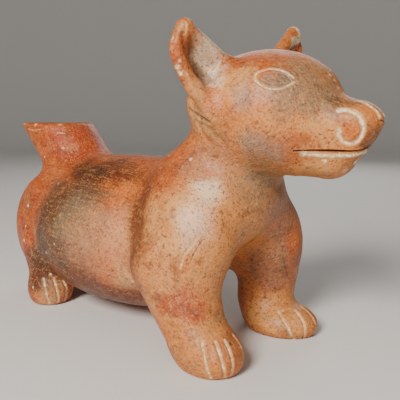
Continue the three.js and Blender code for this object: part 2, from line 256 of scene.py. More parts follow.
def make_torso():
    belly = placed(ellipsoid(at(0, 0, 0), at(23.6, 18.9, 17)), at(-38, 0, 18.8), turned(0, -2.5, 0))
    rump = ellipsoid(at(-55, 0, 18.2), at(16.7, 14.6, 15.2))
    ribs = ellipsoid(at(-25, 0, 19.2), at(14.4, 16.2, 14.8))
    chest = ellipsoid(at(-9.4, 0, 28.4), at(13.7, 13, 8.8))
    right_shoulder = ellipsoid(at(-6.8, -10.6, 22), at(9.2, 6.8, 11.2))
    left_shoulder = ellipsoid(at(-5.6, 10.7, 19.6), at(9.4, 6.9, 9.4))
    haunch = placed(ellipsoid(at(0, 0, 0), at(8, 5, 12)), at(-56.6, -8.4, 16.5), turned(0, 6, 0))
    neck = limb(at(-9.6, 0, 30.5), at(-0.8, 0, 43), 9.7 * SHARE, 8.2 * SHARE)
    hindquarters = blend(HAUNCH_BLEND, rump, both_sides(haunch))
    forequarters = blend(FORE_BLEND, ribs, chest, either(right_shoulder, left_shoulder), neck)
    return blend(WAIST_BLEND, blend(FORE_BLEND, belly, forequarters), hindquarters)


def make_spout():
    """A leaning tube that runs on past the level lip, which cuts it."""
    mouth = np.array((-64.35 * SHARE, 0, RIM_HEIGHT))
    foot = at(-52, 0, 30)
    return limb(foot, mouth + 0.6 * (mouth - foot), RIM_RADIUS, RIM_RADIUS)


def make_legs():
    right = limb(at(-9.6, -11.8, 17.4), at(-2.6, -12.9, 6), 8 * SHARE, 5.7 * SHARE)
    left = limb(at(-5.2, 13.6, 16), at(-5.2, 12.1, 6), 6.8 * SHARE, 6 * SHARE)
    hind = both_sides(limb(at(-53.8, -10.5, 14), at(-53.2, -11.2, 6), 6 * SHARE, 4.6 * SHARE))
    return either(right, left), hind


def make_paws():
    right = placed(ellipsoid(at(0, 0, 0), at(6.6, 5.7, 4.9)), RIGHT_PAW, turned(0, 0, -3))
    left = placed(ellipsoid(at(0, 0, 0), at(7.9, 5.9, 4.1)), LEFT_PAW, turned(0, 0, 12))
    hind = both_sides(placed(ellipsoid(at(0, 0, 0), at(5.5, 5.2, 4.6)), HIND_PAW, turned(0, 0, -6)))
    return either(right, left), hind


def make_face():
    skull = ellipsoid(at(3.4, 0, 46.8), at(13.8, 12.3, 9.7))
    crown = ellipsoid(at(-1, 0, 47.6), at(10.8, 11.6, 5.6))
    cheeks = ellipsoid(at(5.8, 0, 42.8), at(12, 10.5, 6.8))
    muzzle = limb(at(10, 0, 43), at(19.8, 0, 42.8), 7.5 * SHARE, 4 * SHARE)
    jaw = limb(at(9, 0, 41.1), at(15.8, 0, 38.8), 5.7 * SHARE, 4.6 * SHARE)
    bridge = ellipsoid(at(19, 0, 44.4), at(5.3, 3.6, 2.3))
    ridge = limb(at(-0.4, -7.4, 52.1), at(-0.4, 7.4, 52.1), SHARE, SHARE)
    return blend(FACE_BLEND, skull, crown, cheeks, muzzle, jaw, bridge, ridge)


def make_nose_cap():
    """The raised strip that runs along the top of the muzzle and ends in the tip of the nose."""
    return cord([at(20.8, 0, 45.2), at(22.2, 0, 44.9), at(23.4, 0, 44.2)], CAP_RADIUS)


def make_ears():
    """Dished leaves with a rolled outer rim, the left one turned a little to the front."""
    tip = at(-1.4, -16, 60)
    root = at(0.2, -10.9, 46.8)
    crown_root = at(0.2, -7.8, 54.4)
    heart = at(-4, -11.4, 52)
    rim = [root, at(-1.2, -14, 49.8), at(-1.9, -16.6, 54), at(-2, -17.3, 57.2), tip]
    rim = smooth_path(rim, EAR_RIM_STEP)
    dish = leaf(heart, [crown_root, *rim[::-1]], EAR_THICKNESS)
    foot = leaf(heart, [crown_root, at(2, -5, 50), root], EAR_THICKNESS)
    upper_edge = limb(crown_root, tip, 0.8 * SHARE, EAR_RIM_RADIUS)
    lobe = limb(at(-1.4, -14.4, 50.6), at(0.9, -11.5, 46.1), 1.1 * SHARE, 1.5 * SHARE)
    whole = blend(EAR_SEAM, dish, foot, cord(rim, EAR_RIM_RADIUS), upper_edge, lobe)
    right = only_near(at(-13, -24, 41), at(9, 0, 66), whole)
    pivot = at(-1, 14, 50)
    left = placed(lambda points: right(mirrored(points + pivot)), pivot, turned(0, 0, LEFT_EAR_TURN))
    return either(right, left)


def make_form():
    """The whole clay vessel: skin outside, chamber inside, level lip and flat soles."""
    with_spout = blend(SPOUT_BLEND, make_torso(), make_spout())
    forelegs, hindlegs = make_legs()
    forepaws, hindpaws = make_paws()
    face = on_head(blend(CAP_BLEND, make_face(), make_nose_cap()))
    vessel = blend(HEAD_BLEND, with_spout, face)
    legged = blend(PAW_BLEND, blend(LEG_BLEND, with_spout, forelegs, hindlegs), forepaws, hindpaws)
    skin = blend(EAR_BLEND, blend(HEAD_BLEND, legged, face), on_head(make_ears()))
    tail_end = -36 * SHARE

    def clay(points):
        solid = -soft_least(-skin(points), vessel(points) + WALL, WALL_BLEND)
        solid = -soft_least(-solid, points[:, 2], SOLE_ROUND)
        lipped = -soft_least(-solid, RIM_HEIGHT - points[:, 2], LIP_ROUND)
        return np.where(points[:, 0] < tail_end, lipped, solid)
    return clay, skin


CLAY, SKIN = make_form()


def slopes(form, points, values):
    """Which way the form's distance grows, at each point."""
    steps = SLOPE_STEP * np.eye(3)
    return np.column_stack([(form(points + step) - values) / SLOPE_STEP for step in steps])


def settled(form, points, rounds):
    """Points moved straight onto the form's surface."""
    values = form(points)
    slope = slopes(form, points, values)
    steep = np.maximum(np.sum(slope * slope, axis=1), LEAST_SLOPE)
    for _ in range(rounds):
        points = points - slope * (values / steep)[:, None]
        values = form(points)
    return points


# Carving: the lines that are cut into the clay


def toe_lines(centre, sweeps):
    """Lines from above a paw down its front, each between two bearings in degrees."""
    lines = []
    for above, below in sweeps:
        line = []
        for t in (0.0, 0.5, 1.0):
            bearing = math.radians(above + (below - above) * t)
            rise = math.radians(TOE_RISES[0] + (TOE_RISES[1] - TOE_RISES[0]) * t)
            ahead = (math.cos(bearing) * math.cos(rise), math.sin(bearing) * math.cos(rise), math.sin(rise))
            line.append(centre + np.array(ahead) * TOE_REACH)
        lines.append(np.array(line))
    return lines


HIND_SWEEPS = [(-52, -38), (-22, -14), (8, 8), (36, 32)]
TOES = [
    *toe_lines(RIGHT_PAW, [(-66, -46), (-36, -22), (-12, -12), (30, 4)]),
    *toe_lines(LEFT_PAW, [(-63, -25), (-13, -10), (23, 2), (44, 22)]),
    *toe_lines(HIND_PAW, HIND_SWEEPS),
    *toe_lines(mirrored(HIND_PAW), [(-above, -below) for above, below in HIND_SWEEPS]),
]
# Lines of the face on its right side, in millimetres from the part's origin
EYE_RING = [
    [(134, -44, 203), (133, -41, 206), (136, -39, 208), (141, -36, 210), (148, -32, 208), (155, -31, 204)],
    [(134, -44, 203), (137, -44, 200), (142, -43, 197), (147, -40, 196), (151, -37, 197), (156, -32, 201)],
]
EYELIDS = [
    [(137, -43, 203), (138, -40, 206), (143, -37, 207), (147, -33, 206), (151, -32, 204), (155, -33, 201)],
    [(137, -43, 203), (143, -42, 200), (148, -39, 199), (153, -35, 200), (155, -33, 201)],
]
NOSTRIL = [
    (179, -17, 183), (183, -15, 183), (189, -14, 181), (192, -13, 178), (194, -12, 173), (194, -12, 168),
    (190, -11, 164), (186, -13, 162), (182, -15, 164), (180, -17, 168), (181, -18, 171),
]
CAP_EDGE = [(187, -4, 189), (192, -4, 187), (197, -3.5, 184), (199.5, -3, 181), (200.5, -3, 178)]
MOUTH = [(155, -29, 157), (165, -23, 157.3), (175, -17, 157.6), (183, -10, 157.6), (188, -5, 158.4)]
MOUTH_FRONT = (192, 1, 160)
LIP_BAND = [(159, -25, 155), (168, -19, 154.5), (178, -14, 154), (185, -6, 154.5)]
LIP_FRONT = (190, 1, 156)
UNDER_CAP = [(199.5, -4, 176.5), (201, -2, 176.5)]
UNDER_CAP_FRONT = (202, 1, 176.5)
EAR_FOLD = [(101, -76, 232), (101, -75, 228), (100, -72, 221), (98.5, -69, 215)]
EAR_EDGE = [(100, -72, 207), (101, -68, 200), (101, -63, 194), (102, -60, 189)]
UNDER_EAR = [(78, -43, 185), (87, -46, 181), (95, -49, 179), (104, -51, 177)]

# Lines on both sides of the head: line, width, depth, deposit and painted shade
SIDE_LINES = [
    *[(line, EYE_LINE, EYE_DEPTH, CUT_DEPOSIT, 0.0) for line in EYE_RING],
    *[(line, 1.3, 0.5, 0.25, 0.5) for line in EYELIDS],
    (NOSTRIL, NOSTRIL_LINE, NOSTRIL_DEPTH, 0.95, 0.0),
    (CAP_EDGE, 3.2, -0.4, 1.0, 0.0),
    (EAR_FOLD, 6.0, 1.2, 0.0, 0.3),
    # the ridge's pale deposit is partly a painted highlight on the ear's lower lobe
    (EAR_EDGE, 5.0, -0.6, 0.3, 0.0),
    (UNDER_EAR, 5.0, 1.5, 0.0, 0.5),
]
# Lines that run round the front of the muzzle: line, its point in front, then the same
FRONT_LINES = [
    (MOUTH, MOUTH_FRONT, MOUTH_LINE, MOUTH_DEPTH, 0.0, 1.0),
    (LIP_BAND, LIP_FRONT, 4.6, -0.8, 0.85, 0.0),
    (UNDER_CAP, UNDER_CAP_FRONT, 2.6, 1.4, 0.0, 0.4),
]

# Marks that aren't mirrored, in the same terms as the lines on both sides
MARKS = [
    ([(98, -59, 220), (96, -56, 216), (97, -51, 213), (99, -47, 210)], 1.6, 0.4, 0.8, 0.0),
    ([(105, -44, 216), (103, -45, 212), (101, -46, 209)], 2.0, 0.3, 0.8, 0.0),
    ([(102, -74, 238), (102, -74, 231)], 1.8, 0.3, 0.6, 0.0),
    # rows with a shade lay painted shade in the neck's folds, a crack of the chest, under the jaw and on
    # the left foreleg
    ([(84, -45, 180), (89, -42, 167), (97, -42, 161)], 8.0, 0.8, 0.0, 0.25),
    ([(100, -46, 168), (108, -44, 161), (110, -41, 156)], 7.0, 0.6, 0.0, 0.2),
    ([(102, -61, 98), (98, -64, 92), (93, -67, 84), (91, -69, 75)], 2.4, 0.3, 0.6, 0.0),
    ([(104, -60, 96), (100, -63, 88), (97, -65, 80)], 1.2, 0.4, 0.0, 0.5),
    ([(120, -22, 138), (123, -9, 132), (120, 12, 124)], 14.0, 1.2, 0.0, 0.35),
    ([(110, 28, 69), (110, 33, 59), (107, 45, 44)], 1.2, 0.5, 0.0, 0.4),
    ([(91, 17, 62), (107, 25, 67), (110, 28, 72)], 1.2, 0.5, 0.0, 0.35),
    ([(-161, -33, 166), (-150, -35, 165), (-138, -33, 166)], 1.4, 0.3, 0.6, 0.0),
    ([(-119, -25, 162), (-114, -20, 160)], 1.6, 0.3, 0.6, 0.0),
]

# Chips and flecks: place, radius, depth and deposit
CHIPS = [
    ((95, -79, 228), 2.2, 1.0, 0.7), ((95, -80, 223), 2.0, 0.8, 0.5), ((96, -76, 211), 2.4, 0.9, 1.0),
    ((97, -75, 206), 2.2, 0.8, 1.0), ((164, 0, 208), 2.0, 0.9, 0.7), ((166, 2, 204), 2.0, 0.9, 0.7),
    ((170, 0, 199), 2.0, 0.8, 0.5), ((171, -17, 151), 1.9, 0.2, 1.2), ((183, 3, 149), 3.2, 0.8, 1.1),
    ((178, -3, 144), 2.6, 0.6, 0.8), ((197, 5, 176), 2.2, 0.7, 0.8),
    ((-180, -22, 171), 3.0, 1.2, 0.9), ((-147, -33, 171), 2.4, 0.9, 0.9), ((-122, -21, 171), 3.2, 1.2, 0.8),
    ((-112, 0, 171), 2.4, 1.0, 0.7), ((-150, 30, 171), 3.4, 1.3, 0.9), ((-192, 14, 171), 2.6, 1.0, 0.7),
    ((-121, -59, 94), 1.8, 0.2, 1.0), ((-120, -63, 75), 1.6, 0.2, 1.0), ((-119, -67, 62), 1.8, 0.2, 1.0),
    ((-73, -70, 59), 1.3, 0.1, 1.1), ((-82, -64, 47), 1.5, 0.1, 1.1), ((-94, -56, 31), 1.4, 0.1, 1.0),
    ((-109, -25, 147), 1.6, 0.2, 1.0), ((101, -51, 127), 2.6, 0.1, 0.8), ((98, 76, 226), 2.8, 0.9, 0.9),
    ((60, 66, 96), 2.4, 0.3, 0.9), ((-30, 74, 90), 2.0, 0.3, 0.8), ((-170, 20, 96), 2.4, 0.3, 0.8),
]


def spots(points):
    """Places on the finished part, as the carving sees them."""
    return np.array(points, dtype=float) - PART_SHIFT


def other_side(points):
    """The same places on the left side of the head."""
    level = (points - HEAD_CENTRE) @ HEAD_TURN + HEAD_CENTRE
    return from_head(mirrored(level))


class Line:
    """A line laid on the skin; a depth below 0 stands proud. It may hold a pale deposit and painted shade.
    """

    def __init__(self, points, width, depth, deposit, shade):
        rough = settled(SKIN, points, rounds=3)
        self.path = settled(SKIN, smooth_path(list(rough), LINE_STEP), rounds=3)
        self.out = slopes(SKIN, self.path, SKIN(self.path))
        self.out /= np.linalg.norm(self.out, axis=1)[:, None]
        self.width = width
        self.depth = depth
        self.deposit = deposit
        self.shade = shade

    def off(self, points, reach):
        """Which points lie within reach, how far beside the line, and how far along it from 0 to 1."""
        low = self.path.min(axis=0) - reach
        high = self.path.max(axis=0) + reach
        chosen = np.flatnonzero(np.all((points > low) & (points < high), axis=1))
        beside = np.full(len(chosen), np.inf)
        along = np.zeros(len(chosen))
        count = len(self.path) - 1
        for i in range(count):
            axis = self.path[i + 1] - self.path[i]
            away = points[chosen] - self.path[i]
            away = away - (away @ self.out[i])[:, None] * self.out[i]
            t = np.clip(away @ axis / (axis @ axis), 0, 1)
            distance = np.linalg.norm(away - t[:, None] * axis, axis=1)
            nearer = distance < beside
            beside[nearer] = distance[nearer]
            along[nearer] = (i + t[nearer]) / count
        near = beside < reach
        return chosen[near], beside[near], along[near]


class Chip:
    """A small flake that has come off, or a fleck of deposit."""

    def __init__(self, place, radius, depth, deposit):
        self.place = settled(SKIN, spots([place]), rounds=4)[0]
        self.width = 2 * radius
        self.depth = depth
        self.deposit = deposit

    def off(self, points, reach):
        """Which points lie within reach, and how far from the middle; its edge is ragged."""
        away = points - self.place
        chosen = np.flatnonzero(np.all(np.abs(away) < reach, axis=1))
        beside = np.linalg.norm(away[chosen], axis=1) * (1 + waves(points[chosen], *CHIP_WAVE))
        return chosen, beside, np.full(len(chosen), 0.5)


def make_lines():
    lines = [Line(line, TOE_GROOVE, TOE_DEPTH, CUT_DEPOSIT, 0.0) for line in TOES]
    for line, *cut in SIDE_LINES:
        points = spots(line)
        lines.append(Line(points, *cut))
        lines.append(Line(other_side(points), *cut))
    for line, front, *cut in FRONT_LINES:
        points = spots(line)
        lines.append(Line(np.array([*points, *spots([front]), *other_side(points)[::-1]]), *cut))
    lines.extend(Line(spots(line), *cut) for line, *cut in MARKS)
    return lines


# Meshes


def points_of(mesh):
    """The mesh's points in millimetres from the carving's origin."""
    points = np.empty(len(mesh.vertices) * 3)
    mesh.vertices.foreach_get("co", points)
    return points.reshape(-1, 3) / MM - PART_SHIFT


def set_points(mesh, points):
    mesh.vertices.foreach_set("co", ((points + PART_SHIFT) * MM).ravel())
    mesh.update()


def normals_of(mesh):
    normals = np.empty(len(mesh.vertices) * 3)
    mesh.vertices.foreach_get("normal", normals)
    return normals.reshape(-1, 3)


def edges_of(mesh):
    edges = np.empty(len(mesh.edges) * 2, dtype=np.int64)
    mesh.edges.foreach_get("vertices", edges)
    return edges.reshape(-1, 2)


def averaged(values, edges):
    """The mean of each point's neighbours."""
    count = len(values)
    total = np.zeros_like(values)
    for axis in range(values.shape[1]):
        total[:, axis] += np.bincount(edges[:, 0], values[edges[:, 1], axis], count)
        total[:, axis] += np.bincount(edges[:, 1], values[edges[:, 0], axis], count)
    links = np.bincount(edges.ravel(), minlength=count)
    return total / np.maximum(links, 1)[:, None]


def applied(piece, modifier_type, **settings):
    """The piece's mesh with one modifier worked into it."""
    modifier = piece.modifiers.new("step", modifier_type)
    for name, value in settings.items():
        setattr(modifier, name, value)
    graph = bpy.context.evaluated_depsgraph_get()
    mesh = bpy.data.meshes.new_from_object(piece.evaluated_get(graph))
    piece.modifiers.clear()
    old = piece.data
    piece.data = mesh
    bpy.data.meshes.remove(old)
    return mesh


def refined(mesh, near):
    """Splits the faces whose points are all marked into four."""
    grid = bmesh.new()
    grid.from_mesh(mesh)
    grid.verts.ensure_lookup_table()
    edges = [edge for edge in grid.edges if near[edge.verts[0].index] and near[edge.verts[1].index]]
    bmesh.ops.subdivide_edges(grid, edges=edges, cuts=1, use_grid_fill=True)
    grid.to_mesh(mesh)
    grid.free()
    mesh.update()


def near_marks(points, marks, reach):
    near = np.zeros(len(points), dtype=bool)
    for mark in marks:
        near[mark.off(points, reach)[0]] = True
    return near


def draw_smooth(mesh, rounds):
    """Moves the mesh along its own normals until it lies on the clay's surface."""
    for _ in range(rounds):
        points = points_of(mesh)
        set_points(mesh, points - normals_of(mesh) * CLAY(points)[:, None])


def waves(points, height, spacing):
    """Gentle uneven dents."""
    return height * np.array([noise.noise(Vector(p) / spacing) for p in points])


def carved_relief(points, marks):
    """How far the skin is moved outwards beside and in the marks."""
    relief = np.zeros(len(points))
    for mark in marks:
        chosen, beside, along = mark.off(points, mark.width * MARK_REACH)
        ends = np.clip(np.minimum(along, 1 - along) * LINE_RISE + LINE_END, 0, 1)
        share = beside / (mark.width / 2)
        groove = -mark.depth * ends * np.where(share < 1, (1 - share ** 2) ** 2, 0)
        burr = max(mark.depth, 0) * BURR * ends * np.exp(-((share - BURR_PLACE) / BURR_SPREAD) ** 2)
        relief[chosen] = np.where(groove < -1e-3, np.minimum(relief[chosen], groove), relief[chosen] + burr)
        relief[chosen] += np.maximum(groove, 0)
    return relief


def store(mesh, name, values):
    mesh.attributes.new(name, "FLOAT", "POINT").data.foreach_set("value", values)


def spread(points, marks, amount_of):
    """The strongest amount that any mark gives each point."""
    values = np.zeros(len(points))
    for mark in marks:
        chosen, beside, _ = mark.off(points, mark.width)
        amount = amount_of(mark) * np.clip(MARK_FADE - beside / (mark.width / 2), 0, 1)
        values[chosen] = np.maximum(values[chosen], amount)
    return values


def store_wear_and_shade(mesh, lines, chips):
    """Stores where the clay is bare, hollow, worn, crusted or painted with shade, for the finish to read;
    hollows are painted with shade and dirt.
    """
    points = points_of(mesh)
    edges = edges_of(mesh)
    depth = -SKIN(points)
    store(mesh, "inside", np.clip(depth / BARE_DEPTH - 1, 0, 1))
    store(mesh, "deposit", spread(points, [*lines, *chips], lambda mark: mark.deposit))
    store(mesh, "shade", spread(points, lines, lambda mark: mark.shade))
    around = points
    for _ in range(WEAR_ROUNDS):
        around = averaged(around, edges)
    bulge = np.sum((points - around) * normals_of(mesh), axis=1)
    store(mesh, "hollow", np.clip(-bulge / HOLLOW_FULL, 0, 1) * (depth < SKIN_DEPTH))
    store(mesh, "worn", np.clip((bulge - WORN_FROM) / WORN_RISE, 0, 1) * (depth < SKIN_DEPTH))


def make_dog(node, name):
    """The solid's skin, drawn smooth over its masses and then carved."""
    piece = bpy.data.objects.new(name, node.data.copy())
    bpy.context.scene.collection.objects.link(piece)
    applied(piece, "WELD", merge_threshold=1e-6)
    mesh = applied(piece, "REMESH", mode="VOXEL", voxel_size=SKIN_GRID * MM)
    lines = make_lines()
    chips = [Chip(*chip) for chip in CHIPS]
    draw_smooth(mesh, rounds=2)
    points = points_of(mesh)
    set_points(mesh, points + SMOOTHING * (averaged(points, edges_of(mesh)) - points))
    draw_smooth(mesh, rounds=1)
    for reach in (FINE_BAND, FINEST_BAND):
        refined(mesh, near_marks(points_of(mesh), [*lines, *chips], reach))
    draw_smooth(mesh, rounds=1)
    points = points_of(mesh)
    outside = np.abs(SKIN(points)) < SKIN_DEPTH / 2
    relief = carved_relief(points, [*lines, *chips]) + waves(points, *HAND_WAVE) + waves(points, *TOOL_WAVE)
    points = points + normals_of(mesh) * (relief * np.where(outside, 1, CHAMBER_RELIEF))[:, None]
    points[:, 2] = np.maximum(points[:, 2], 0)
    set_points(mesh, points)
    triangles = sum(len(face.vertices) - 2 for face in mesh.polygons)
    applied(piece, "TRIANGULATE")
    mesh = applied(piece, "DECIMATE", ratio=min(1.0, MOST_TRIANGLES / triangles))
    mesh.polygons.foreach_set("use_smooth", [True] * len(mesh.polygons))
    store_wear_and_shade(mesh, lines, chips)
    return piece


# Finish


def tone(red, green, blue):
    """A colour given as 0 to 255 on a screen."""
    screen = np.array((red, green, blue)) / 255
    linear = np.where(screen <= 0.04045, screen / 12.92, ((screen + 0.055) / 1.055) ** 2.4)
    return (*linear, 1)


RUST = tone(170, 76, 26)
RED = tone(160, 56, 24)
DEEP_RED = tone(84, 34, 16)
ORANGE = tone(200, 104, 36)
OCHRE = tone(200, 128, 62)
TAN = tone(210, 148, 84)
BUFF = tone(226, 182, 126)
ROSE = tone(206, 134, 92)
# the lilac below is laid as a painted highlight on the shoulder
HIGHLIGHT_LILAC = tone(232, 194, 168)
SLATE = tone(132, 115, 103)
MAUVE = tone(146, 102, 84)
BROWN = tone(90, 50, 26)
GREY = tone(122, 104, 80)
SOOT = tone(54, 46, 34)
DARK = tone(42, 25, 16)
CREAM = tone(246, 228, 194)
RAW_CLAY = tone(132, 78, 48)

# Areas of the slip, some of them painted shade and light: colour, middle, half sizes, tilt in degrees,
# softness of the edge, strength.
# About 65 areas in all are the most that the renderer holds in one material.
AREAS = [
    # fore part, browner than the hind part
    (TAN, (100, -50, 85), (75, 60, 75), 0, 0.8, 0.6),
    (OCHRE, (100, 30, 60), (60, 45, 70), 0, 0.8, 0.55),
    (OCHRE, (140, 0, 180), (85, 80, 60), 0, 0.5, 0.6),
    (BUFF, (8, -74, 84), (22, 26, 20), -10, 1.0, 0.35),
    (ORANGE, (8, -44, 126), (40, 22, 14), 10, 0.8, 0.75),
    (RED, (-122, -62, 62), (18, 24, 18), 0, 0.6, 0.85),
    (DEEP_RED, (-108, -60, 36), (20, 22, 18), 0, 0.8, 0.85),
    (RED, (-108, -4, 150), (30, 34, 24), 0, 0.8, 0.8),
    # belly and shoulder
    (BUFF, (24, -60, 50), (10, 18, 14), 0, 0.8, 0.7),
    # shoulder and neck
    (TAN, (88, -68, 110), (26, 20, 30), 0, 1.0, 0.7),
    (RUST, (54, -54, 142), (22, 26, 28), -30, 0.8, 0.85),
    (MAUVE, (92, -44, 146), (24, 16, 14), 0, 0.9, 0.5),
    (OCHRE, (108, -50, 94), (22, 14, 10), 15, 0.8, 0.6),
    # painted shade on the front of the chest, over grey and mauve slip
    (GREY, (112, 0, 122), (22, 30, 22), 0, 0.8, 0.5),
    (MAUVE, (116, 26, 100), (18, 26, 32), 0, 0.8, 0.6),
    # forelegs
    (RED, (94, -72, 50), (20, 20, 11), 10, 0.7, 0.75),
    (OCHRE, (95, -74, 32), (24, 20, 7), 10, 0.8, 0.6),
    (OCHRE, (104, -72, 12), (30, 24, 12), 0, 0.9, 0.7),
    # painted shadow of the chest on the left foreleg, over mauve slip
    (MAUVE, (98, 24, 56), (18, 24, 18), 0, 0.8, 0.75),
    (RUST, (114, 42, 66), (14, 12, 24), 0, 0.8, 0.9),
    (TAN, (104, 24, 18), (30, 30, 18), 0, 0.9, 0.7),
    # hind paw
    (BUFF, (-92, -56, 16), (12, 12, 18), 0, 0.9, 0.5),
    # head
    (RUST, (118, -32, 215), (38, 36, 10), 4, 0.8, 0.85),
    (TAN, (120, -46, 200), (14, 16, 12), 0, 0.9, 0.8),
    (ROSE, (134, -46, 190), (15, 16, 11), 0, 0.9, 0.4),
    (OCHRE, (150, -42, 178), (20, 16, 9), 0, 0.9, 0.6),
    (RUST, (153, -34, 160), (11, 14, 7), 0, 0.9, 0.6),
    (TAN, (163, -16, 147), (14, 16, 7), 0, 0.9, 0.6),
    (TAN, (170, -24, 172), (16, 16, 9), 0, 0.9, 0.7),
    (ORANGE, (188, -14, 173), (7, 8, 7), 0, 0.8, 0.85),
    (OCHRE, (196, -6, 180), (7, 10, 7), 0, 0.8, 0.6),
    (BROWN, (199, -2, 164), (9, 12, 11), 0, 0.8, 0.75),
    (BROWN, (186, 8, 148), (12, 12, 8), 0, 0.8, 0.6),
    (MAUVE, (146, -38, 203), (13, 9, 6.5), 6, 0.6, 0.85),
    (BUFF, (88, -48, 180), (18, 14, 16), 0, 0.9, 0.5),
    # ears
    (GREY, (100, -60, 218), (14, 24, 30), 0, 0.8, 0.3),
    # painted light in the dish of the right ear
    (CREAM, (100, -56, 214), (12, 17, 26), 0, 1.0, 0.75),
    (RUST, (96, -77, 218), (9, 8, 26), 0, 0.8, 0.8),
    (OCHRE, (100, -68, 196), (10, 12, 16), 0, 0.8, 0.85),
    (ORANGE, (103, -53, 193), (11, 11, 8), 0, 0.8, 0.85),
    (OCHRE, (99, -77, 240), (8, 8, 10), 0, 0.8, 0.7),
    (OCHRE, (98, 50, 232), (12, 16, 22), 0, 0.8, 0.5),
    # painted highlight in the groove of the left ear
    (CREAM, (99, 58, 238), (8, 5, 14), 0, 0.7, 0.8),
    # left side and back, plainer
    (SOOT, (-60, 72, 78), (40, 26, 34), 20, 0.8, 0.7),
    (ROSE, (20, 70, 84), (40, 22, 30), 0, 0.9, 0.6),
    (MAUVE, (110, 46, 150), (26, 18, 30), 0, 0.9, 0.5),
    (OCHRE, (-150, 40, 110), (34, 28, 36), 0, 0.9, 0.5),
    (DEEP_RED, (-40, 40, 132), (50, 16, 12), 0, 0.9, 0.6),
]

# Smoke of the firing, the paler slip beside it, and painted shade and highlights, laid over the mottling,
# in the same terms
FIRE_CLOUDS_AND_PAINTED_LIGHT = [
    # right flank, dark above and behind, pale within
    (SOOT, (-44, -68, 90), (56, 32, 48), -30, 0.5, 0.85),
    (SOOT, (-88, -66, 58), (15, 20, 36), 20, 0.7, 0.85),
    (GREY, (-26, -72, 92), (28, 26, 26), -20, 0.9, 0.7),
    (ROSE, (8, -74, 78), (42, 26, 33), -10, 0.9, 0.5),
    # under the belly, deep red laid as painted shade
    (DEEP_RED, (-35, -50, 30), (68, 44, 24), 0, 0.7, 0.9),
    (DEEP_RED, (-35, -37, 134), (68, 17, 12), 4, 0.8, 0.85),
    (DARK, (-46, -42, 130), (36, 14, 10), 6, 0.9, 0.75),
    # fold between belly and shoulder: painted shade over darker red slip
    (DEEP_RED, (45, -66, 96), (15, 28, 58), -6, 1.0, 0.85),
    # a pale patch of the shoulder, and a painted highlight on it in lilac
    (CREAM, (102, -50, 128), (11, 13, 9), 0, 1.4, 0.6),
    (HIGHLIGHT_LILAC, (96, -62, 104), (11, 13, 15), 20, 1.4, 0.6),
    # throat and chest: painted shadow under the jaw, over greyer slip
    (GREY, (124, -18, 138), (26, 20, 15), 0, 1.0, 0.6),
    # face
    (GREY, (163, -25, 197), (26, 28, 16), 25, 0.7, 0.75),
    (SOOT, (176, -13, 191), (9, 12, 5), 30, 0.9, 0.6),
    (SLATE, (127, -48, 190), (10, 12, 10), 0, 0.9, 0.5),
    (SLATE, (136, -38, 158), (14, 16, 13), 0, 1.3, 0.7),
    (BROWN, (187, -6, 189), (7, 10, 5), 20, 0.9, 0.6),
]

# Clouds: colour, shift, spacing in millimetres, detail, roughness, where they begin and are full, strength
SLIP_CLOUDS = [
    (ORANGE, (0, 0, 0), 34, 3, 0.55, 0.50, 0.72, 0.7),
    (RED, (0, 0, 0), 22, 3, 0.55, 0.54, 0.72, 0.7),
]
MOTTLES = [
    (GREY, (0, 0, 90), 17, 4, 0.6, 0.52, 0.68, 0.4),
    (ORANGE, (90, 90, 0), 15, 4, 0.6, 0.52, 0.68, 0.45),
    (DEEP_RED, (0, 0, 0), 13, 5, 0.65, 0.48, 0.72, 0.55),
]
DUST = [
    (TAN, (90, 0, 0), 8, 5, 0.7, 0.52, 0.74, 0.35),
    (RED, (0, 90, 0), 6, 5, 0.7, 0.54, 0.72, 0.35),
]

# Tones that a pattern lays where it passes these values: colour, where they begin and are full, strength
STROKE_TONES = [(DEEP_RED, 1.55, 1.9, 0.6), (TAN, 1.45, 1.15, 0.45)]
SPECKLE_TONES = [(BROWN, 0.46, 0.30, 0.75), (BUFF, 0.58, 0.74, 0.45)]
# painted shade and dirt, in brown, darken the hollows
HOLLOW_SHADE_AND_DIRT_TONES = [(BROWN, 0.15, 1.0, 0.6)]
CRUST_TONES = [(BUFF, 0.0, 0.8, 0.5)]

# Patterns of the finish; spacings, sizes, lengths and widths are in millimetres
DRIFT_SPACING = 26.0  # uneven shift of the areas and clouds
DRIFT_REACH = 34.0  # the whole span of that shift
GRAIN_SPACING = 1.6
GRAIN_REACH = 1.1  # raggedness of the areas' edges, as a share of their half sizes
SPECKLE_SPACING = 2.4
PEPPER = {"Spacing": 2.0, "Size": 1.2, "Share": 0.5}
PEPPER_CROWDS = 30.0  # spacing of the places where pepper is thick
PEPPER_STRENGTH = (0.4, 0.6, 0.05, 0.5)  # where a crowd begins and is full, strength outside and in it
PALE_DOTS = {"Spacing": 11.0, "Size": 2.0, "Share": 0.3}
PALE_DOT_STRENGTH = 0.45
SPECK_CORE = 0.4  # share of a speck's radius before its edge fades
# Strokes of the polishing stone, tilted by radians
STROKES = [
    {"Tilt": (0, 0.05, 0), "Length": 16.0, "Width": 1.3},
    {"Tilt": (0, 0.9, 0), "Length": 9.0, "Width": 1.0},
    {"Tilt": (0, -0.8, 0), "Length": 9.0, "Width": 1.0},
]

# What burial left, and the painted shade of the creases: each edge gives where it begins and where it is
# full
PATCH_SPACING = 7.0
CRUST_SPACING = 2.2
CRUST_BREAK = 2.6  # how much the fine pattern breaks up the deposit
CRUST_EDGE = (2.4, 2.95)
CRUST_FROM = (0.05, 0.2)  # how much deposit a mark holds before any shows
CRUST_STRENGTH = 0.9
WEAR_EDGE = (0.95, 1.2)
WEAR_STRENGTH = 0.8
SHADE_BREAK = 0.5
SHADE_EDGE = (0.35, 1.2)

